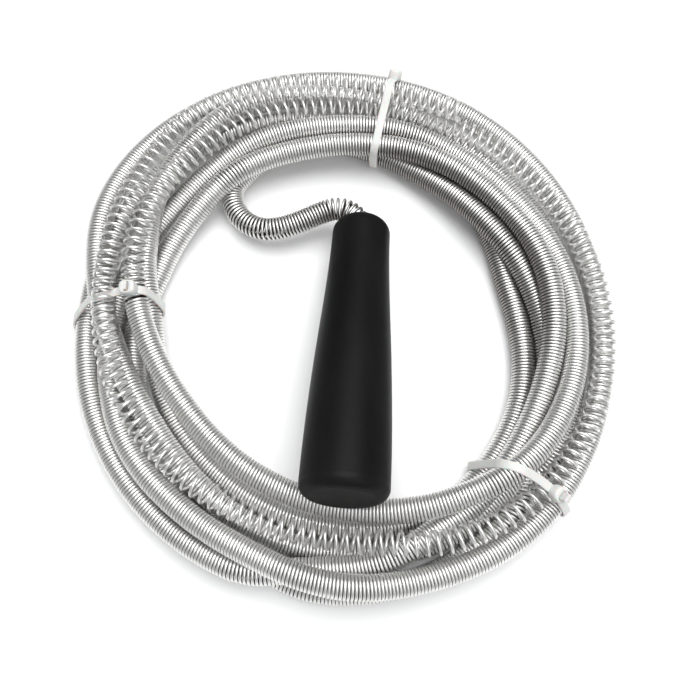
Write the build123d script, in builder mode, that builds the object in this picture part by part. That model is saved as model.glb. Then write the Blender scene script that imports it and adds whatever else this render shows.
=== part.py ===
"""Hand drain auger: a close-wound spring cable tied in a ring, with a turning grip on its cranked end.

Millimetres, +Z up. The origin is the ring's centre on the surface the ring lies on. Clock angles are
degrees clockwise from +Y, seen from above.
"""

import os
from math import cos, pi, radians, sin, tan

from build123d import *

# Cable: one steel wire wound close into a spring. The uncoiled stretch and the bundle are plain solids.
CABLE_R = 4.5
WIRE_D = 1.15
CORE_R = CABLE_R - WIRE_D

# Bundle of the wound cable: its inner and outer edge, every 30 degrees of the clock from 0.
BUNDLE_INNER = [67, 63, 62.5, 63, 68, 73, 74, 70, 67.5, 69, 70, 68]
BUNDLE_OUTER = [110, 108, 106, 107, 111, 111, 110, 108, 109, 108.5, 113, 114]
BUNDLE_H = 24
BUNDLE_CROWN_R = 9
BUNDLE_FOOT_R = 4

# Handle: a hollow tapered grip, narrow at the cable's mouth and closed by a rounded cap at its wide end.
MOUTH = Vector(5.9, 34.0, 14.9)
BUTT = Vector(-1.5, -73.9, 37.6)
HANDLE_L = (BUTT - MOUTH).length
TO_BUTT = (BUTT - MOUTH).normalized()
MOUTH_R = 11.3
MOUTH_ROUND_R = 5
NECK_R = 11.9
WAIST_R = 13.6
BELLY_R = 14.7
BUTT_R = 15.2
CAP_T = 4.5
CAP_ROUND_R = 4
GRIP_L = HANDLE_L - CAP_T
NECK_AT = GRIP_L * 0.26
WAIST_AT = GRIP_L * 0.53
BELLY_AT = GRIP_L * 0.75
WALL = 2.8
FLARE = 1.6
FLARE_L = 3.2
SOCKET_STEP = 1
SPIGOT_R = 11.95
SPIGOT_L = 9
FIT_GAP = 0.05

# The cable's leg turns in the grip's neck, and a washer and a screw in its core keep the grip on.
RUNNING_GAP = 0.08
NECK_L = 30
LEG_START = 6.4
LEG_PROUD = 0.4
WASHER_R = 8
WASHER_T = 1.5
WASHER_GAP = 0.1
SCREW_R = CORE_R - 0.05
SCREW_L = 16
SCREW_HEAD_R = 5.5
SCREW_HEAD_H = 3.2
SCREW_HEAD_ROUND_R = 1.2
SLOT_W = 1.2
SLOT_DEPTH = 1.4

# The crank: points of the cable's route from the grip's neck to the bundle.
CRANK = [
    MOUTH + TO_BUTT * LEG_START,
    MOUTH,
    Vector(2.2, 39.7, 14.0),
    Vector(-3.9, 42.1, 13.4),
    Vector(-11.3, 40.0, 12.5),
    Vector(-18.8, 36.6, 11.6),
    Vector(-27.0, 34.3, 10.6),
    Vector(-34.2, 34.2, 9.6),
    Vector(-41.0, 37.6, 8.6),
    Vector(-45.8, 43.4, 7.4),
    Vector(-47.6, 50.5, 6.4),
    Vector(-46.2, 57.6, 5.9),
]

# Cable ties: name, clock angle of the strap at the bundle's inner edge and at its outer edge, where the
# head sits along the strap from 0 at the inner edge to 1 at the outer edge, and its foot's height.
TIES = [
    ("tie_top", 10, 11.5, 0.98, 18.6),
    ("tie_left", 271, 269, 0.34, 24),
    ("tie_lower_right", 147, 134, 0.94, 19.8),
]
STRAP_W = 3.4
STRAP_T = 1.2
TIE_HEAD_L = 5.4
TIE_HEAD_W = 5.4
TIE_HEAD_H = 4.2
TIE_HEAD_ROUND_R = 1.2


def clock_point(angle, radius):
    """The point on the floor at a clock angle and a distance from the ring's centre."""
    return Vector(radius * sin(radians(angle)), radius * cos(radians(angle)), 0)


def edge_points(radii):
    """The points of a closed outline whose radii are given at equal steps of the clock."""
    step = 360 / len(radii)
    return [clock_point(k * step, r) for k, r in enumerate(radii)]


def edge_radius(radii, angle):
    """An outline's radius at any clock angle, between its two nearest stations."""
    step = 360 / len(radii)
    k, rest = divmod(angle / step, 1)
    return radii[int(k)] * (1 - rest) + radii[(int(k) + 1) % len(radii)] * rest


def finish(part, name):
    """Labels a piece and writes its STEP file."""
    part.label = name
    export_step(part, f"parts/{name}.step")


os.makedirs("parts", exist_ok=True)

# The plane that holds the handle's profile: X across the handle, Y along it from mouth to butt.
ACROSS = Vector(TO_BUTT.Y, -TO_BUTT.X, 0).normalized()
HANDLE_PROFILE = Plane(origin=MOUTH, x_dir=ACROSS, z_dir=ACROSS.cross(TO_BUTT))
HANDLE_AXIS = Axis(MOUTH, TO_BUTT)

# The grip is a moulded shell: rounded mouth, slim neck, swelling belly, thin wall behind the neck's bore.
with BuildPart() as handle_grip:
    with BuildSketch(HANDLE_PROFILE):
        with BuildLine():
            Line((0, 0), (MOUTH_R - MOUTH_ROUND_R, 0))
            RadiusArc((MOUTH_R - MOUTH_ROUND_R, 0), (MOUTH_R, MOUTH_ROUND_R), -MOUTH_ROUND_R)
            Spline(
                (MOUTH_R, MOUTH_ROUND_R),
                (NECK_R, NECK_AT),
                (WAIST_R, WAIST_AT),
                (BELLY_R, BELLY_AT),
                (BUTT_R, GRIP_L),
                tangents=[(0, 1), (0, 1)],
            )
            Line((BUTT_R, GRIP_L), (0, GRIP_L))
            Line((0, GRIP_L), (0, 0))
        make_face()
    revolve(axis=HANDLE_AXIS)
    with BuildSketch(HANDLE_PROFILE):
        with BuildLine():
            bore_r = CABLE_R + RUNNING_GAP
            socket_r = SPIGOT_R + FIT_GAP
            Polyline(
                (0, 0),
                (bore_r + FLARE, 0),
                (bore_r, FLARE_L),
                (bore_r, NECK_L),
                (NECK_R - WALL, NECK_L),
                (socket_r - SOCKET_STEP, GRIP_L - SPIGOT_L - SOCKET_STEP),
                (socket_r, GRIP_L - SPIGOT_L - SOCKET_STEP),
                (socket_r, GRIP_L),
                (0, GRIP_L),
                close=True,
            )
        make_face()
    revolve(axis=HANDLE_AXIS, mode=Mode.SUBTRACT)
finish(handle_grip.part, "handle_grip")

# The cap closes the wide end: a rounded disc flush with the barrel, on a hollow spigot pressed inside.
with BuildPart() as handle_end_cap:
    with BuildSketch(HANDLE_PROFILE):
        with BuildLine():
            Polyline(
                (0, GRIP_L),
                (SPIGOT_R - WALL, GRIP_L),
                (SPIGOT_R - WALL, GRIP_L - SPIGOT_L),
                (SPIGOT_R, GRIP_L - SPIGOT_L),
                (SPIGOT_R, GRIP_L),
                (BUTT_R, GRIP_L),
                (BUTT_R, HANDLE_L - CAP_ROUND_R),
            )
            RadiusArc(
                (BUTT_R, HANDLE_L - CAP_ROUND_R), (BUTT_R - CAP_ROUND_R, HANDLE_L), -CAP_ROUND_R
            )
            Polyline((BUTT_R - CAP_ROUND_R, HANDLE_L), (0, HANDLE_L), (0, GRIP_L))
        make_face()
    revolve(axis=HANDLE_AXIS)
finish(handle_end_cap.part, "handle_end_cap")

# The cable's straight leg inside the neck, hollow as the spring is.
LEG_END = NECK_L + LEG_PROUD
with BuildPart() as cable_leg:
    with BuildSketch(Plane(origin=MOUTH + TO_BUTT * LEG_START, z_dir=TO_BUTT)):
        Circle(CABLE_R)
        Circle(CORE_R, mode=Mode.SUBTRACT)
    extrude(amount=LEG_END - LEG_START)
finish(cable_leg.part, "cable_leg")

# A plain washer on the leg's end, wider than the neck's bore.
with BuildPart() as retaining_washer:
    with BuildSketch(Plane(origin=MOUTH + TO_BUTT * LEG_END, z_dir=TO_BUTT)):
        Circle(WASHER_R)
        Circle(SCREW_R + WASHER_GAP, mode=Mode.SUBTRACT)
    extrude(amount=WASHER_T)
finish(retaining_washer.part, "retaining_washer")

# A slotted pan-head screw driven into the spring's core, over the washer.
HEAD_SEAT = LEG_END + WASHER_T
with BuildPart() as retaining_screw:
    with BuildSketch(Plane(origin=MOUTH + TO_BUTT * (HEAD_SEAT - SCREW_L), z_dir=TO_BUTT)):
        Circle(SCREW_R)
    extrude(amount=SCREW_L)
    with BuildSketch(Plane(origin=MOUTH + TO_BUTT * HEAD_SEAT, z_dir=TO_BUTT)):
        Circle(SCREW_HEAD_R)
    extrude(amount=SCREW_HEAD_H)
    head_rim = retaining_screw.edges().filter_by(GeomType.CIRCLE).sort_by(HANDLE_AXIS)[-1]
    fillet(head_rim, SCREW_HEAD_ROUND_R)
    with BuildSketch(Plane(origin=MOUTH + TO_BUTT * (HEAD_SEAT + SCREW_HEAD_H), z_dir=TO_BUTT)):
        Rectangle(2 * SCREW_HEAD_R, SLOT_W)
    extrude(amount=-SLOT_DEPTH, mode=Mode.SUBTRACT)
finish(retaining_screw.part, "retaining_screw")

# The crank: straight runs joined by arcs, each as large as its two runs allow.
RUNS = [(b - a).length for a, b in zip(CRANK, CRANK[1:])]
TURNS = [(b - a).get_angle(c - b) for a, b, c in zip(CRANK, CRANK[1:], CRANK[2:])]
RADII = [0.45 * min(a, b) / tan(radians(t) / 2) for a, b, t in zip(RUNS, RUNS[1:], TURNS)]
with BuildPart() as cable_crank:
    with BuildLine() as crank_path:
        FilletPolyline(*CRANK, radius=RADII)
    with BuildSketch(Plane(origin=crank_path.wires()[0] @ 0, z_dir=crank_path.wires()[0] % 0)):
        Circle(CABLE_R)
    sweep(path=crank_path.wires()[0])
finish(cable_crank.part, "cable_crank")
print("crank radii", [round(r, 1) for r in RADII], "runs", [round(r, 1) for r in RUNS])
crank_length = crank_path.wires()[0].length
section_volume = pi * CABLE_R**2 * crank_length
print("crank length", round(crank_length, 1), "volume ratio", round(cable_crank.part.volume / section_volume, 4))

# The bundle: one closed ring with the outer shape of all the turns, flat where it lies.
with BuildPart() as cable_coil:
    with BuildSketch():
        with BuildLine():
            Spline(edge_points(BUNDLE_OUTER), periodic=True)
        make_face()
        with BuildLine():
            Spline(edge_points(BUNDLE_INNER), periodic=True)
        make_face(mode=Mode.SUBTRACT)
    extrude(amount=BUNDLE_H)
    fillet(cable_coil.edges().group_by(Axis.Z)[-1], BUNDLE_CROWN_R)
    fillet(cable_coil.edges().group_by(Axis.Z)[0], BUNDLE_FOOT_R)
finish(cable_coil.part, "cable_coil")

# Three nylon ties, each one moulding: a strap round the bundle and a square head that locks it.
for name, inner_angle, outer_angle, head_at, head_foot in TIES:
    inner = clock_point(inner_angle, edge_radius(BUNDLE_INNER, inner_angle))
    outer = clock_point(outer_angle, edge_radius(BUNDLE_OUTER, outer_angle))
    across = (outer - inner).normalized()
    width = (outer - inner).length
    strap_top = BUNDLE_H + STRAP_T
    middle = (inner + outer) * 0.5 + Vector(0, 0, strap_top / 2)
    strap_plane = Plane(origin=middle, x_dir=across, z_dir=across.cross(Vector(0, 0, 1)))
    head_place = inner + across * (width * head_at) + Vector(0, 0, head_foot)
    with BuildPart() as tie:
        with BuildSketch(strap_plane):
            RectangleRounded(width + 2 * STRAP_T, strap_top, BUNDLE_CROWN_R + STRAP_T)
            RectangleRounded(width, strap_top - 2 * STRAP_T, BUNDLE_CROWN_R, mode=Mode.SUBTRACT)
        extrude(amount=STRAP_W / 2, both=True)
        with BuildSketch(Plane(origin=head_place, x_dir=across, z_dir=(0, 0, 1))):
            RectangleRounded(TIE_HEAD_L, TIE_HEAD_W, TIE_HEAD_ROUND_R)
        extrude(amount=TIE_HEAD_H)
    finish(tie.part, name)
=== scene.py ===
"""A hand drain auger as it is stored: the spring cable wound in a tied ring round its black plastic grip.

Metres, +Z up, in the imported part's own frame: the ring's centre on the surface it lies on is the origin.
Clock angles are degrees clockwise from +Y, seen from above.
"""

from math import cos, radians, sin, tau

import bmesh
import bpy
import numpy as np
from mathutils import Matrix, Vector


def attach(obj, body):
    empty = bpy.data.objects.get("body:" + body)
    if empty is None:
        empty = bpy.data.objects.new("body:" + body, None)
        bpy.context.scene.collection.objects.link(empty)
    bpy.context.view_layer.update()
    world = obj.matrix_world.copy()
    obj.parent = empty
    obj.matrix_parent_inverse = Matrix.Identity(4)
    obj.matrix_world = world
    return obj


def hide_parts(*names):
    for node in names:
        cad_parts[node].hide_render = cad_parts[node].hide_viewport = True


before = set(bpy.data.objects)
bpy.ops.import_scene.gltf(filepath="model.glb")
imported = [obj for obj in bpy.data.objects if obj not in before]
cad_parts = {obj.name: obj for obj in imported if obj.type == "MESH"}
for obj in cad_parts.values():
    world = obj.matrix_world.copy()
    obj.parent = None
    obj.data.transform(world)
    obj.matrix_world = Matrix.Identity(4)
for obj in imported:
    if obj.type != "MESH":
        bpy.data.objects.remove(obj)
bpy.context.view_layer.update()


# Camera: it looks down at the auger from the side of the grip's wide end, close enough for the near side
# of the ring to look larger than the far side.
AIM = Vector((-0.002, -0.0125, 0.008))
CAMERA_TILT = radians(74)
CAMERA_AWAY = 0.275
CAMERA_LENS_MM = 37.3

to_camera = Vector((0, -cos(CAMERA_TILT), sin(CAMERA_TILT)))
camera = bpy.data.objects.new("camera", bpy.data.cameras.new("camera"))
camera.data.lens = CAMERA_LENS_MM
camera.data.clip_start = 0.01
camera.location = AIM + to_camera * CAMERA_AWAY
camera.rotation_euler = (-to_camera).to_track_quat("-Z", "Y").to_euler()
bpy.context.collection.objects.link(camera)
bpy.context.scene.camera = camera


# Cable, its lie: one spring steel wire wound close into a 9 mm spring, bent into a crank at the grip and
# then wound by hand, clockwise, into a ring of seven laps and a bit. The laps cross where they like. The
# charts give each lap's radius in mm and its level in the pile, at every station round the clock.
MM = 0.001
CABLE_D = 9.0
CRANK = [
    (5.47, 27.75, 16.21),
    (5.9, 34.0, 14.9),
    (2.2, 39.7, 14.0),
    (-3.9, 42.1, 13.4),
    (-11.3, 40.0, 12.5),
    (-18.8, 36.6, 11.6),
    (-27.0, 34.3, 10.6),
    (-34.2, 34.2, 9.6),
    (-41.0, 37.6, 8.6),
    (-45.8, 43.4, 7.4),
    (-47.6, 50.5, 6.4),
]
WINDING_START = 320
WINDING_START_R = 73.2
LAPS_START = 330
STATION_GAP = 30
LAP_RADII = [
    [81, 75.5, 67.5, 66, 74, 86, 100, 106, 98, 91, 81, 74],
    [73, 71.5, 72.5, 74, 78.5, 80, 87.5, 97, 104.5, 104.5, 102, 101],
    [96, 84, 73, 67, 67.5, 76.5, 86, 84, 81.5, 78, 75.5, 90],
    [100, 97.5, 89, 87.5, 90, 92.5, 91.5, 93, 86, 85, 94, 110],
    [110, 106.5, 104, 101, 99.5, 103.5, 105, 100.5, 96, 96.5, 92, 84],
    [81, 78.5, 78, 82, 87, 89, 83.5, 76, 72, 71, 79, 88],
    [86.5, 87, 90, 94, 98.5, 100, 96.5, 86, 86, 88.5, 91, 96.5],
    [101, 89, 91],
]
LAP_LEVELS = [
    [0, 0.2, 0.6, 0.7, 0.4, 0, 0, 0, 0, 0, 0.1, 0.85],
    [1, 1, 1, 1, 0.95, 0.8, 0.8, 0.2, 0.05, 0.2, 0.1, 0],
    [0, 0, 0, 0.15, 0.45, 0.5, 0.25, 0.1, 0.5, 0.9, 1.05, 1.15],
    [0.85, 0.5, 0.6, 0.4, 0.25, 0.3, 0.15, 0.9, 0.3, 0.2, 1.1, 0.6],
    [0.3, 0.3, 0.35, 0.2, 0.1, 0.2, 0.85, 1, 0.9, 0.75, 0.1, 0.9],
    [1.1, 1.2, 1.2, 1.2, 1.2, 1.2, 1.6, 1.5, 1.5, 1.7, 1.8, 1.8],
    [1.7, 1.5, 1.4, 1.3, 1.3, 1.4, 1.3, 1.7, 1.7, 1.7, 1.65, 1.55],
    [2.1, 2.5, 2.5],
]
LEVEL_H = 7.8
LOWEST_CENTRE = 5.6
CRANK_LIFT = 0.3
STRAND_GAP = 9.15
WINDING_STEP = 10
STEPS_PER_TURN = 360 // WINDING_STEP
SETTLE_ROUNDS = 400
HOLD_UNTIL, HOLD_FADE = 0.9, 0.2
PUSH_SHARE = 0.6
HOLD_PLAN = 0.06
SINK = 0.03
EVEN_PLAN, EVEN_HEIGHT = 0.1, 0.25
LIE_RESOLUTION = 12
HAIR = 1e-9


def between_stations(angles, stations, values):
    """A smooth curve through the values at the stations, read at the given angles."""
    slopes = np.gradient(values, stations)
    k = np.clip(np.searchsorted(stations, angles, side="right") - 1, 0, len(stations) - 2)
    gap = stations[k + 1] - stations[k]
    t = (angles - stations[k]) / gap
    rise = t * t * (3 - 2 * t)
    leave = t * (1 - t) ** 2 * gap * slopes[k]
    arrive = t * t * (t - 1) * gap * slopes[k + 1]
    return values[k] * (1 - rise) + values[k + 1] * rise + leave + arrive


def settle(radii, heights):
    """Lays the laps down: strands that overlap at a clock angle push apart, and all sink to rest.

    Until the last rounds each strand is also held near its own plan and kept even along its length.
    """
    start_radii = radii.copy()
    count = len(radii)
    for done in range(SETTLE_ROUNDS):
        hold = np.clip((HOLD_UNTIL - done / SETTLE_ROUNDS) / HOLD_FADE, 0, 1)
        push_r, push_z = np.zeros(count), np.zeros(count)
        for gap in range(STEPS_PER_TURN, count, STEPS_PER_TURN):
            apart_r, apart_z = radii[gap:] - radii[:-gap], heights[gap:] - heights[:-gap]
            apart = np.hypot(apart_r, apart_z) + HAIR
            short = np.clip(STRAND_GAP - apart, 0, None) / 2 / apart
            push_r[gap:] += apart_r * short
            push_r[:-gap] -= apart_r * short
            push_z[gap:] += apart_z * short
            push_z[:-gap] -= apart_z * short
        radii += PUSH_SHARE * push_r + HOLD_PLAN * hold * (start_radii - radii)
        heights += PUSH_SHARE * push_z - SINK * hold
        radii[1:-1] += EVEN_PLAN * hold * ((radii[:-2] + radii[2:]) / 2 - radii[1:-1])
        heights[1:-1] += EVEN_HEIGHT * hold * ((heights[:-2] + heights[2:]) / 2 - heights[1:-1])
        heights = np.maximum(heights, LOWEST_CENTRE)
        radii[0], heights[0] = start_radii[0], LOWEST_CENTRE + CRANK_LIFT
    return radii, heights


chart_radii = np.array([WINDING_START_R] + sum(LAP_RADII, []), float)
chart_levels = np.array([0] + sum(LAP_LEVELS, []), float)
chart_clock = LAPS_START + STATION_GAP * np.arange(-1.0, len(chart_radii) - 1)
chart_clock[0] = WINDING_START
winding_clock = np.arange(WINDING_START, chart_clock[-1] + 1, WINDING_STEP, float)
winding_radii, winding_heights = settle(
    between_stations(winding_clock, chart_clock, chart_radii),
    LOWEST_CENTRE + LEVEL_H * np.clip(between_stations(winding_clock, chart_clock, chart_levels), 0, None),
)
route = [Vector(p) * MM for p in CRANK]
for clock, radius, height in zip(winding_clock, winding_radii, winding_heights):
    route.append(Vector((radius * sin(radians(clock)), radius * cos(radians(clock)), height)) * MM)

lie_curve = bpy.data.curves.new("cable_lie", "CURVE")
lie_curve.dimensions = "3D"
lie_spline = lie_curve.splines.new("NURBS")
lie_spline.points.add(len(route) - 1)
for spline_point, place in zip(lie_spline.points, route):
    spline_point.co = (*place, 1)
lie_spline.order_u = 3
lie_spline.use_endpoint_u = True
lie_spline.resolution_u = LIE_RESOLUTION
lie = bpy.data.objects.new("cable_lie", lie_curve)
bpy.context.collection.objects.link(lie)
lie_mesh = bpy.data.meshes.new_from_object(lie)
CENTRELINE = np.array([v.co for v in lie_mesh.vertices])
bpy.data.meshes.remove(lie_mesh)
bpy.data.objects.remove(lie)
TRAVELLED = np.concatenate([[0], np.cumsum(np.linalg.norm(np.diff(CENTRELINE, axis=0), axis=1))])
tangents = np.gradient(CENTRELINE, TRAVELLED, axis=0)
tangents /= np.linalg.norm(tangents, axis=1)[:, None]


# Cable ties: three natural nylon ties hold the ring. Each is a toothed strap drawn tight round the laps and
# locked in the slot of its own moulded head, with the spare end snipped off close to the head. The left
# tie's strap is threaded between the turns of the pulled-open lap. They are made before the wire.
STRAP_W = 3.2 * MM
STRAP_T = 1.0 * MM
STRAP_CORNERS = 5
STRAP_STEPS = 360
STRAP_RIM = 20
STRAP_PLAY = 0.02 * MM
TOOTH_STEPS = 3
TOOTH_DEPTH = 0.12 * MM
TOOTHED_HALF_W = STRAP_W / 3
TIE_INNER_R = 72 * MM
TIE_OUTER_R = 106 * MM
TIE_EDGE = 9 * MM
LEAN_TOP = 26 * MM
SLANT_LIMIT = 0.5
HULL_STEPS = 1440
HEAD_RINGS = [  # half along the strap, half across it, and height above it, in mm
    (2.5, 2.2, 0.0),
    (2.95, 2.65, 0.25),
    (3.1, 2.8, 0.8),
    (3.1, 2.8, 2.9),
    (3.0, 2.7, 3.6),
    (2.7, 2.45, 4.05),
    (2.2, 2.3, 4.2),
    (1.1, 2.0, 4.2),
    (0.85, 1.9, 4.0),
    (0.8, 1.85, 3.0),
]
HEAD_CORNERS = 3
HEAD_SHIFT = 0.45 * MM
STUB_FOOT = 2.8 * MM
STUB_RINGS = 8
TIES = {
    "tie_top": dict(
        inner_clock=10, outer_clock=11.5, bow=0, lean=0, head_at=0.87, stub=4.4 * MM, over_all=True
    ),
    "tie_left": dict(
        inner_clock=272, outer_clock=271, bow=0, lean=10 * MM, head_at=0.24, stub=5.5 * MM, over_all=False
    ),
    "tie_lower_right": dict(
        inner_clock=146, outer_clock=134.5, bow=4 * MM, lean=0, head_at=0.88, stub=7 * MM, over_all=True
    ),
}


def on_plan(radius, clock):
    """A place on the floor plan."""
    return radius * np.array([sin(radians(clock)), cos(radians(clock))])


def strap_line(inner, outer, bow, lean, over_all):
    """A strap's middle line, tight round the laps it holds.

    Returns its places, their directions along, outward and sideways, and how far across the ring each lies.
    """
    reach = np.linalg.norm(outer - inner)
    across = (outer - inner) / reach
    along = np.array([-across[1], across[0]])

    def bowed(u):
        return 4 * bow * u / reach * (1 - u / reach)

    def leaning(z):
        return lean * (1 - z / LEAN_TOP) ** 2

    u = (CENTRELINE[:, :2] - inner) @ across
    v = (CENTRELINE[:, :2] - inner) @ along - bowed(u) - leaning(CENTRELINE[:, 2])
    close = (u > -TIE_EDGE) & (u < reach + TIE_EDGE)
    hits = np.flatnonzero((v[:-1] * v[1:] <= 0) & close[:-1])
    if not over_all:
        hits = hits[:-1]
    share = (v[hits] / (v[hits] - v[hits + 1]))[:, None]
    crossed = CENTRELINE[hits] * (1 - share) + CENTRELINE[hits + 1] * share
    crossed_u = (crossed[:, :2] - inner) @ across
    slope = 4 * bow * (1 - 2 * crossed_u / reach) / reach
    square = (along - across * slope[:, None]) / np.sqrt(1 + slope[:, None] ** 2)
    slant = np.abs(np.sum(tangents[hits, :2] * square, axis=1)).clip(SLANT_LIMIT, 1)
    high = (CABLE_D * MM + STRAP_T) / 2 + STRAP_PLAY
    wide = high / slant + STRAP_W / 2 * np.sqrt(1 / slant**2 - 1)

    turn = np.arange(HULL_STEPS)[:, None] * tau / HULL_STEPS
    swell = np.hypot(wide * np.cos(turn), high * np.sin(turn))
    held = np.argmax(crossed_u * np.cos(turn) + crossed[:, 2] * np.sin(turn) + swell, axis=1)
    turn, swell = turn[:, 0], swell[np.arange(HULL_STEPS), held]
    hull_u = crossed_u[held] + wide[held] ** 2 * np.cos(turn) / swell
    hull_z = crossed[held, 2] + high**2 * np.sin(turn) / swell
    gone = np.hypot(np.diff(hull_u, append=hull_u[0]), np.diff(hull_z, append=hull_z[0]))
    gone = np.concatenate([[0], np.cumsum(gone)])
    even = np.linspace(0, gone[-1], STRAP_STEPS, endpoint=False)
    even_u = np.interp(even, gone, np.append(hull_u, hull_u[0]))
    even_z = np.interp(even, gone, np.append(hull_z, hull_z[0]))
    plan = inner + across * even_u[:, None] + along * (bowed(even_u) + leaning(even_z))[:, None]
    places = np.column_stack([plan, even_z])

    run = np.roll(places, -1, axis=0) - np.roll(places, 1, axis=0)
    run /= np.linalg.norm(run, axis=1)[:, None]
    slope = 4 * bow * (1 - 2 * even_u / reach) / reach
    side = np.column_stack([along - across * slope[:, None], np.zeros(STRAP_STEPS)])
    out = np.cross(side, run)
    out /= np.linalg.norm(out, axis=1)[:, None]
    if np.sum(out * (places - places.mean(axis=0))) < 0:
        out = -out
    side = np.cross(out, run)
    return places, run, out, side, even_u / reach


def rounded(half_wide, half_high, count, corners):
    """A rounded rectangle's rim, counter-clockwise. More corners make it squarer."""
    turn = np.arange(count) * tau / count
    x, y = np.cos(turn), np.sin(turn)
    power = 2 / corners
    return half_wide * np.sign(x) * np.abs(x) ** power, half_high * np.sign(y) * np.abs(y) ** power


def loft(rings, closed):
    """Corners and faces of a skin through rings of equal count, its ends capped unless it is closed."""
    rings = np.array(rings)
    rows, rim = rings.shape[:2]
    corners = [tuple(p) for p in rings.reshape(-1, 3)]
    faces = []
    for row in range(rows if closed else rows - 1):
        here, following = row * rim, (row + 1) % rows * rim
        for k in range(rim):
            after = (k + 1) % rim
            faces.append((here + k, here + after, following + after, following + k))
    if not closed:
        faces.append(tuple(range(rim - 1, -1, -1)))
        faces.append(tuple(range((rows - 1) * rim, rows * rim)))
    return corners, faces


def cable_tie(name, inner_clock, outer_clock, bow, lean, head_at, stub, over_all):
    """One tie: its looped strap, its head and the snipped end that stands out of the head's slot."""
    inner, outer = on_plan(TIE_INNER_R, inner_clock), on_plan(TIE_OUTER_R, outer_clock)
    places, run, out, side, share = strap_line(inner, outer, bow, lean, over_all)
    rim_x, rim_y = rounded(STRAP_W / 2, STRAP_T / 2, STRAP_RIM, STRAP_CORNERS)
    tooth = (np.arange(STRAP_STEPS) % TOOTH_STEPS == 0) * TOOTH_DEPTH
    inside = (rim_y < 0) & (np.abs(rim_x) < TOOTHED_HALF_W)
    lift = rim_y[None, :] + tooth[:, None] * inside[None, :]
    strap = places[:, None] + side[:, None] * rim_x[None, :, None] + out[:, None] * lift[:, :, None]

    upper = places[:, 2] > places[:, 2].mean()
    seat = np.argmin(np.where(upper, np.abs(share - head_at), np.inf))
    foot = places[seat] - out[seat] * HEAD_SHIFT
    head = []
    for half_run, half_side, height in HEAD_RINGS:
        x, y = rounded(half_side * MM, half_run * MM, STRAP_RIM, HEAD_CORNERS)
        head.append(foot + side[seat] * x[:, None] - run[seat] * y[:, None] + out[seat] * height * MM)
    end = []
    for height in np.linspace(STUB_FOOT, stub, STUB_RINGS):
        end.append(foot + side[seat] * rim_x[:, None] - run[seat] * rim_y[:, None] + out[seat] * height)

    corners, faces = [], []
    for rings, closed in ((strap, True), (head, False), (end, False)):
        more_corners, more_faces = loft(rings, closed)
        faces += [tuple(k + len(corners) for k in face) for face in more_faces]
        corners += more_corners
    mesh = bpy.data.meshes.new(name)
    mesh.from_pydata(corners, [], faces)
    for face in mesh.polygons:
        face.use_smooth = len(face.vertices) == 4
    shaped = bmesh.new()
    shaped.from_mesh(mesh)
    bmesh.ops.recalc_face_normals(shaped, faces=shaped.faces)
    shaped.to_mesh(mesh)
    shaped.free()
    tie = bpy.data.objects.new(name, mesh)
    bpy.context.collection.objects.link(tie)
    return tie


class Socket:
    """An output of a finish's node. Sums and products with it add the Math nodes that work them out."""

    def __init__(self, finish, output):
        self.finish = finish
        self.output = output

    def math(self, operation, first, second):
        return self.finish.node("ShaderNodeMath", {"operation": operation}, {0: first, 1: second})

    def __add__(self, other):
        return self.math("ADD", self, other)

    def __mul__(self, other):
        return self.math("MULTIPLY", self, other)

    __radd__ = __add__
    __rmul__ = __mul__


class Finish:
    """A material: its Principled node's own values, and the nodes that vary some of them."""

    def __init__(self, name, **values):
        self.material = bpy.data.materials.new(name)
        self.material.use_nodes = True
        self.nodes = self.material.node_tree.nodes
        self.surface = self.nodes["Principled BSDF"]
        for socket, value in values.items():
            self.surface.inputs[socket.replace("_", " ")].default_value = value
        self.place = self.node("ShaderNodeTexCoord", {}, {}, "Object")

    def node(self, kind, settings, sockets, output=0):
        """Adds a node of one kind: its settings are set first, then its sockets' values or links."""
        made = self.nodes.new(kind)
        for name, value in settings.items():
            setattr(made, name, value)
        for name, value in sockets.items():
            self.feed(made.inputs[name], value)
        return Socket(self, made.outputs[output])

    def feed(self, target, value):
        if isinstance(value, Socket):
            self.material.node_tree.links.new(value.output, target)
        else:
            target.default_value = value

    def vary(self, **values):
        """Feeds the surface with what changes from place to place."""
        for socket, value in values.items():
            self.feed(self.surface.inputs[socket.replace("_", " ")], value)

    def noise(self, scale, detail=2, stretch=(1, 1, 1)):
        spread = self.node("ShaderNodeVectorMath", {"operation": "MULTIPLY"}, {0: self.place, 1: stretch})
        return self.node("ShaderNodeTexNoise", {}, {"Vector": spread, "Scale": scale, "Detail": detail})

    def blend(self, share, first, second):
        first, second = [c if isinstance(c, Socket) else (*c, 1) for c in (first, second)]
        return self.node("ShaderNodeMix", {"data_type": "RGBA"}, {0: share, 6: first, 7: second}, 2)

    def ramp(self, value, low, high):
        """0 up to the low value, 1 from the high one."""
        return self.node("ShaderNodeMapRange", {}, {0: value, 1: low, 2: high})

    def bump(self, height, depth):
        return self.node("ShaderNodeBump", {}, {"Height": height, "Distance": depth, "Strength": 1.0})


NYLON_DULL, NYLON_CLEAR = (0.56, 0.565, 0.545), (0.68, 0.68, 0.66)

natural_nylon = Finish(
    "natural_nylon", Subsurface_Weight=0.35, Subsurface_Scale=1.2 * MM, Specular_IOR_Level=0.5
)
moulding = natural_nylon.noise(scale=260)
natural_nylon.vary(
    Base_Color=natural_nylon.blend(natural_nylon.noise(scale=60), NYLON_DULL, NYLON_CLEAR),
    Roughness=0.28 + 0.2 * moulding,
    Normal=natural_nylon.bump(moulding, depth=0.06 * MM),
)
for node, make in TIES.items():
    tie = cable_tie(node + "_strap_and_head", **make)
    tie.data.materials.append(natural_nylon.material)
    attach(tie, "cable")
    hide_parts(node)
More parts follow.
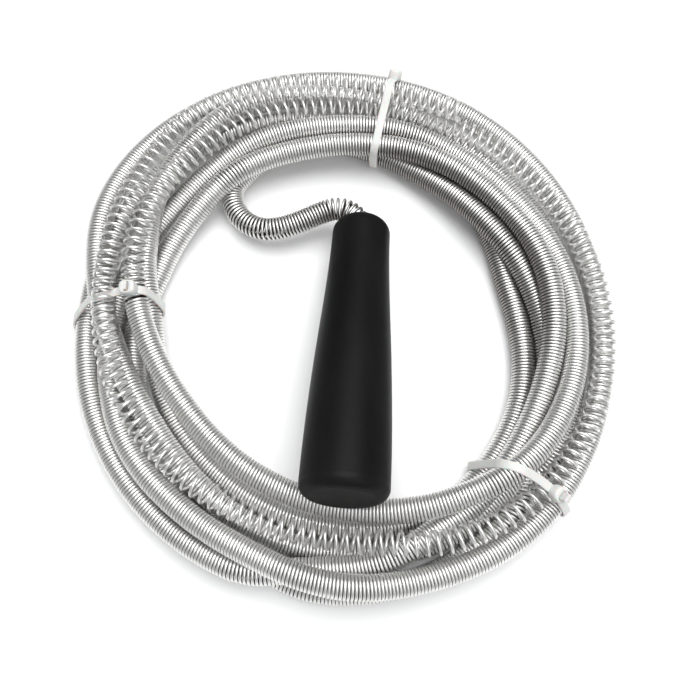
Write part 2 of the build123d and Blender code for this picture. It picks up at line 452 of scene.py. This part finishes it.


# Cable, its wire: 1.15 mm spring wire, coiled right-handed. The turns touch on the inside of every bend.
# The last lap is pulled open for its whole length, and its last turn is simply cut off. Painted shade
# darkens the wire between the turns and on the ring's inside at the upper right, and the crank is made
# darker; the open lap keeps little of either.
WIRE_D = 1.15 * MM
WIRE_RING_R = (CABLE_D * MM - WIRE_D) / 2
CLOSE_PITCH = 1.2 * MM
OPEN_PITCH = 3.8 * MM
FIRST_OPEN_PITCH = 2.2 * MM
BEND_ROOM = 1.02
WIRE_STEPS = 16
WIRE_SIDES = 8
CRANK_END_CLOCK = 325
OPENING_CLOCK = 2429
STRETCHED_CLOCK = 2438
CLOCK_SEARCH = 150
CLOSED_PIECES = 6
SHEET_COLUMNS = 8
SHEET_CELL = (0.96, 0.84)
SHEET_MARGIN = (0.02, 0.08)
# On the opened lap the painted shade and darkening drop to a fifth.
OPEN_LESS_DARK = 0.8
# The crank is made darker, fading out near its end and into the first lap.
CRANK_DARKER = 0.2
CRANK_DARK_FADE = (0.7, 1.5)
# Painted shade on the ring's inside at the upper right: a little on the strands' crests, more on their
# inward flanks, fading by clock angle and radius.
SHADE_CREST, SHADE_FLANK = 0.06, 0.4
SHADE_CLOCK, SHADE_SPREAD, SHADE_CLOCK_FADE = 55, 85, 45
SHADE_R, SHADE_R_FADE = 88 * MM, 12 * MM


def at_clock(clock):
    """How far along the cable a clock angle of the winding lies."""
    place = on_plan(np.interp(clock, winding_clock, winding_radii) * MM, clock)
    lap_share = (clock - WINDING_START) / (winding_clock[-1] - WINDING_START)
    crank_end = len(CRANK) / len(route) * len(CENTRELINE)
    guess = crank_end + lap_share * (len(CENTRELINE) - crank_end)
    low, high = int(max(guess - CLOCK_SEARCH, 0)), int(min(guess + CLOCK_SEARCH, len(CENTRELINE)))
    near = low + np.argmin(np.linalg.norm(CENTRELINE[low:high, :2] - place, axis=1))
    return TRAVELLED[near]


CRANK_END = at_clock(CRANK_END_CLOCK)
OPENING_AT = at_clock(OPENING_CLOCK)
STRETCHED_AT = at_clock(STRETCHED_CLOCK)

bend = np.linalg.norm(np.gradient(tangents, TRAVELLED, axis=0), axis=1)
sideways = [np.cross(tangents[0], (0, 0, 1))]
for tangent in tangents[1:]:
    carried = sideways[-1] - tangent * (sideways[-1] @ tangent)
    sideways.append(carried / np.linalg.norm(carried))
sideways = np.array(sideways) / np.linalg.norm(sideways[0])
upward = np.cross(tangents, sideways)

pitch = np.maximum(CLOSE_PITCH, BEND_ROOM * WIRE_D / (1 - WIRE_RING_R * bend))
pitch = np.where(TRAVELLED > OPENING_AT, FIRST_OPEN_PITCH, pitch)
pitch = np.where(TRAVELLED > STRETCHED_AT, OPEN_PITCH, pitch)
turns_made = np.concatenate([[0], np.cumsum(np.diff(TRAVELLED) * 2 / (pitch[1:] + pitch[:-1]))])


def read_along(values, places):
    """Rows of values along the centreline, read at distances along it."""
    return np.stack([np.interp(places, TRAVELLED, column) for column in values.T], -1)


def coiled_wire(name, start, end):
    """The cable's wire between two distances along its centreline: a closed, unwrapped mesh."""
    first, last = np.interp([start, end], TRAVELLED, turns_made)
    steps = np.arange(round(first * WIRE_STEPS), round(last * WIRE_STEPS) + 1) / WIRE_STEPS
    places = np.interp(steps, turns_made, TRAVELLED)
    side, up = read_along(sideways, places), read_along(upward, places)
    angle = steps[:, None] * tau
    outward = side * np.cos(angle) + up * np.sin(angle)
    middle = read_along(CENTRELINE, places) + outward * WIRE_RING_R
    run = np.gradient(middle, axis=0)
    run /= np.linalg.norm(run, axis=1)[:, None]
    across = np.cross(run, outward)
    rim = np.arange(WIRE_SIDES)[None, :, None] * tau / WIRE_SIDES
    rings = middle[:, None] + (outward[:, None] * np.cos(rim) + across[:, None] * np.sin(rim)) * WIRE_D / 2
    corners = rings.reshape(-1, 3)
    k = np.arange(len(steps) - 1)[:, None] * WIRE_SIDES
    j = np.arange(WIRE_SIDES)[None, :]
    j_next = (j + 1) % WIRE_SIDES
    quads = np.stack([k + j, k + WIRE_SIDES + j, k + WIRE_SIDES + j_next, k + j_next], -1).reshape(-1, 4)
    ends = [list(range(WIRE_SIDES)), list(range(len(corners) - 1, len(corners) - 1 - WIRE_SIDES, -1))]

    mesh = bpy.data.meshes.new(name)
    mesh.vertices.add(len(corners))
    mesh.vertices.foreach_set("co", corners.ravel())
    mesh.loops.add(quads.size + 2 * WIRE_SIDES)
    mesh.loops.foreach_set("vertex_index", np.concatenate([quads.ravel(), *ends]))
    mesh.polygons.add(len(quads) + 2)
    starts = np.arange(len(quads) + 2) * 4
    starts[-1] = starts[-2] + WIRE_SIDES
    mesh.polygons.foreach_set("loop_start", starts)
    mesh.polygons.foreach_set("use_smooth", np.ones(len(quads) + 2, bool))
    mesh.update(calc_edges=True)

    turn, step = np.divmod(np.repeat(np.arange(len(steps) - 1), WIRE_SIDES), WIRE_STEPS)
    rim_cell = np.tile(np.arange(WIRE_SIDES), len(steps) - 1)
    rows = -(-(turn.max() + 1) // SHEET_COLUMNS)
    u = np.stack([step, step + 1, step + 1, step], -1) / WIRE_STEPS * SHEET_CELL[0]
    v = np.stack([rim_cell, rim_cell, rim_cell + 1, rim_cell + 1], -1) / WIRE_SIDES * SHEET_CELL[1]
    across_sheet = (u + (turn % SHEET_COLUMNS)[:, None] + SHEET_MARGIN[0]) / SHEET_COLUMNS
    up_sheet = (v + (turn // SHEET_COLUMNS)[:, None] + SHEET_MARGIN[1]) / rows
    layout = np.stack([across_sheet, up_sheet], -1)
    unwrapping = mesh.uv_layers.new(name="OFBake")
    flat = np.zeros((len(mesh.loops), 2), np.float32)
    flat[: quads.size] = layout.reshape(-1, 2)
    unwrapping.data.foreach_set("uv", flat.ravel())

    # Painted shade: each ring of the wire is darkest on its side towards the cable's axis, between the
    # turns.
    gap_shade = (1 - np.cos(rim[0, :, 0])) / 2
    opened = np.interp(places, [OPENING_AT - CLOSE_PITCH, STRETCHED_AT], [0, 1])
    # The crank is made darker, fading out near its end and into the first lap.
    crank_darkening = np.interp(places, [CRANK_END * share for share in CRANK_DARK_FADE], [CRANK_DARKER, 0])
    plan_r = np.hypot(middle[:, 0], middle[:, 1])
    plan_clock = np.degrees(np.arctan2(middle[:, 0], middle[:, 1]))
    inward = -np.sum(outward[:, :2] * middle[:, :2], axis=1) / plan_r
    # Painted shade on the inward flanks of the inner strands near the upper right.
    shaded_inside = np.clip((SHADE_R - plan_r) / SHADE_R_FADE, 0, 1)
    shaded_here = np.clip((SHADE_SPREAD - np.abs(plan_clock - SHADE_CLOCK)) / SHADE_CLOCK_FADE, 0, 1)
    crank_dark_and_shade = crank_darkening + (SHADE_CREST + SHADE_FLANK * np.clip(inward, 0, 1)) * shaded_inside * shaded_here
    # The painted shade and darkening fade out on the opened lap.
    darkness = (gap_shade[None, :] + crank_dark_and_shade[:, None]) * (1 - OPEN_LESS_DARK * opened[:, None])
    darkness_layer = mesh.attributes.new("painted_shade_and_darkening", "FLOAT", "POINT")
    darkness_layer.data.foreach_set("value", darkness.ravel().astype(np.float32))

    wire = bpy.data.objects.new(name, mesh)
    bpy.context.collection.objects.link(wire)
    return wire


# The wire's finish: bright zinc, rubbed a little dull by handling, under painted shade and the darker
# crank.
ZINC_BRIGHT, ZINC_DULL, SHADE_AND_DARK_TONE = (0.87, 0.865, 0.85), (0.77, 0.765, 0.75), (0.078, 0.064, 0.055)

bright_wire = Finish("bright_spring_wire", Metallic=1.0)
handling = bright_wire.noise(scale=38, detail=3)
drawing_marks = bright_wire.noise(scale=1500)
zinc = bright_wire.blend(bright_wire.ramp(handling, low=0.35, high=0.65), ZINC_BRIGHT, ZINC_DULL)
painted_shade_and_darkening = bright_wire.node("ShaderNodeAttribute", {"attribute_name": "painted_shade_and_darkening"}, {}, "Fac")
bright_wire.vary(
    # Painted shade and darkening: the colour runs from zinc to near black as the painted value rises.
    Base_Color=bright_wire.blend(bright_wire.ramp(painted_shade_and_darkening, low=0.23, high=0.6), zinc, SHADE_AND_DARK_TONE),
    Roughness=0.31 + 0.14 * handling + 0.05 * drawing_marks,
    Normal=bright_wire.bump(drawing_marks, depth=0.02 * MM),
)


def lay_cable(name, start, end, node):
    """One stretch of the cable's wire, with its finish, attached to the cable's body in place of the CAD
    part it hides.
    """
    wire = coiled_wire(name, start, end)
    wire.data.materials.append(bright_wire.material)
    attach(wire, "cable")
    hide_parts(node)


lay_cable("cable_crank_wire", 0, CRANK_END, "cable_crank")
cuts = np.linspace(CRANK_END, OPENING_AT, CLOSED_PIECES + 1)
for number, (start, end) in enumerate(zip(cuts, cuts[1:]), 1):
    lay_cable(f"cable_lap_{number}_wire", start, end, "cable_coil")
lay_cable("cable_open_wire", OPENING_AT, TRAVELLED[-1], "cable_coil")


# Grip: a hollow black moulding with a satin, fine-grained skin. The cap that shuts its wide end is a
# smoother moulding of the same plastic.
def grip_skin(name, dark, pale, roughness, grain_depth):
    """A black plastic, paler where hands have rubbed it."""
    skin = Finish(name, Specular_IOR_Level=0.07)
    grain = skin.noise(scale=2600)
    rubbed = skin.noise(scale=42, detail=4, stretch=(1, 0.35, 1))
    skin.vary(
        Base_Color=skin.blend(skin.ramp(rubbed, low=0.35, high=0.75), dark, pale),
        Roughness=roughness + 0.14 * rubbed + 0.04 * grain,
        Normal=skin.bump(grain + 0.4 * skin.noise(scale=300), grain_depth),
    )
    return skin.material


def finish_node(node, material):
    """Gives a CAD piece its finish."""
    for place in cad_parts[node].material_slots:
        place.material = material


GRIP_DARK, GRIP_PALE = (0.004, 0.004, 0.0045), (0.009, 0.009, 0.009)
CAP_DARK, CAP_PALE = (0.005, 0.005, 0.0055), (0.011, 0.011, 0.011)

black_grip = grip_skin("black_grip_plastic", GRIP_DARK, GRIP_PALE, roughness=0.36, grain_depth=0.05 * MM)
black_cap = grip_skin("black_cap_plastic", CAP_DARK, CAP_PALE, roughness=0.3, grain_depth=0.03 * MM)
finish_node("handle_grip", black_grip)
finish_node("handle_end_cap", black_cap)


# Leg, washer and screw: what the grip turns on. The leg is the cable's straightened end, kept in the grip
# by a washer and a screw, all of them zinc plated and smeared with grease.
def plated_steel(name, pale, greasy, roughness):
    """Zinc plating with its spangle, under smears of grease."""
    plating = Finish(name, Metallic=1.0)
    spangle = plating.node("ShaderNodeTexVoronoi", {}, {"Vector": plating.place, "Scale": 900})
    grease = plating.ramp(plating.noise(scale=180, detail=3), low=0.4, high=0.7)
    plating.vary(
        Base_Color=plating.blend(grease, pale, greasy),
        Roughness=roughness + 0.2 * grease + 0.08 * spangle,
        Normal=plating.bump(spangle, depth=0.02 * MM),
    )
    return plating.material


INNER_STEEL = {
    "cable_leg": ("greased_spring_wire", (0.62, 0.61, 0.59), (0.3, 0.28, 0.25), 0.24),
    "retaining_washer": ("zinc_washer_plating", (0.66, 0.66, 0.65), (0.4, 0.38, 0.34), 0.2),
    "retaining_screw": ("zinc_screw_plating", (0.68, 0.68, 0.66), (0.42, 0.4, 0.36), 0.18),
}
for node, look in INNER_STEEL.items():
    finish_node(node, plated_steel(*look))


# Floor and lights: a plain pale table under one broad soft light from behind the ring, with a weaker
# one from the camera's side, in a softly lit room.
FLOOR_HALF = 3
TABLE_PALE, TABLE_PALEST = (0.9, 0.9, 0.9), (0.93, 0.93, 0.93)
ROOM_COLOUR = (0.96, 0.98, 1, 1)
ROOM_STRENGTH = 0.34

floor_mesh = bpy.data.meshes.new("floor")
floor_corners = [(FLOOR_HALF * x, FLOOR_HALF * y, 0) for x, y in ((-1, -1), (1, -1), (1, 1), (-1, 1))]
floor_mesh.from_pydata(floor_corners, [], [(0, 1, 2, 3)])
floor = bpy.data.objects.new("floor", floor_mesh)
bpy.context.collection.objects.link(floor)
pale_top = Finish("pale_table_top", Roughness=0.7)
pale_top.vary(Base_Color=pale_top.blend(pale_top.noise(scale=3), TABLE_PALE, TABLE_PALEST))
floor_mesh.materials.append(pale_top.material)


def soft_light(name, place, size, watts):
    """A round soft light aimed at the ring's centre."""
    light = bpy.data.objects.new(name, bpy.data.lights.new(name, "AREA"))
    light.data.shape = "DISK"
    light.data.size = size
    light.data.energy = watts
    light.location = place
    light.rotation_euler = (-Vector(place)).to_track_quat("-Z", "Y").to_euler()
    bpy.context.collection.objects.link(light)


soft_light("key", place=(0.1, 0.26, 0.93), size=1, watts=12.5)
soft_light("fill", place=(0.35, -0.55, 0.8), size=0.8, watts=2.5)

room = bpy.data.worlds.new("room")
room.use_nodes = True
room.node_tree.nodes["Background"].inputs["Color"].default_value = ROOM_COLOUR
room.node_tree.nodes["Background"].inputs["Strength"].default_value = ROOM_STRENGTH
bpy.context.scene.world = room
bpy.context.scene.view_settings.view_transform = "Standard"
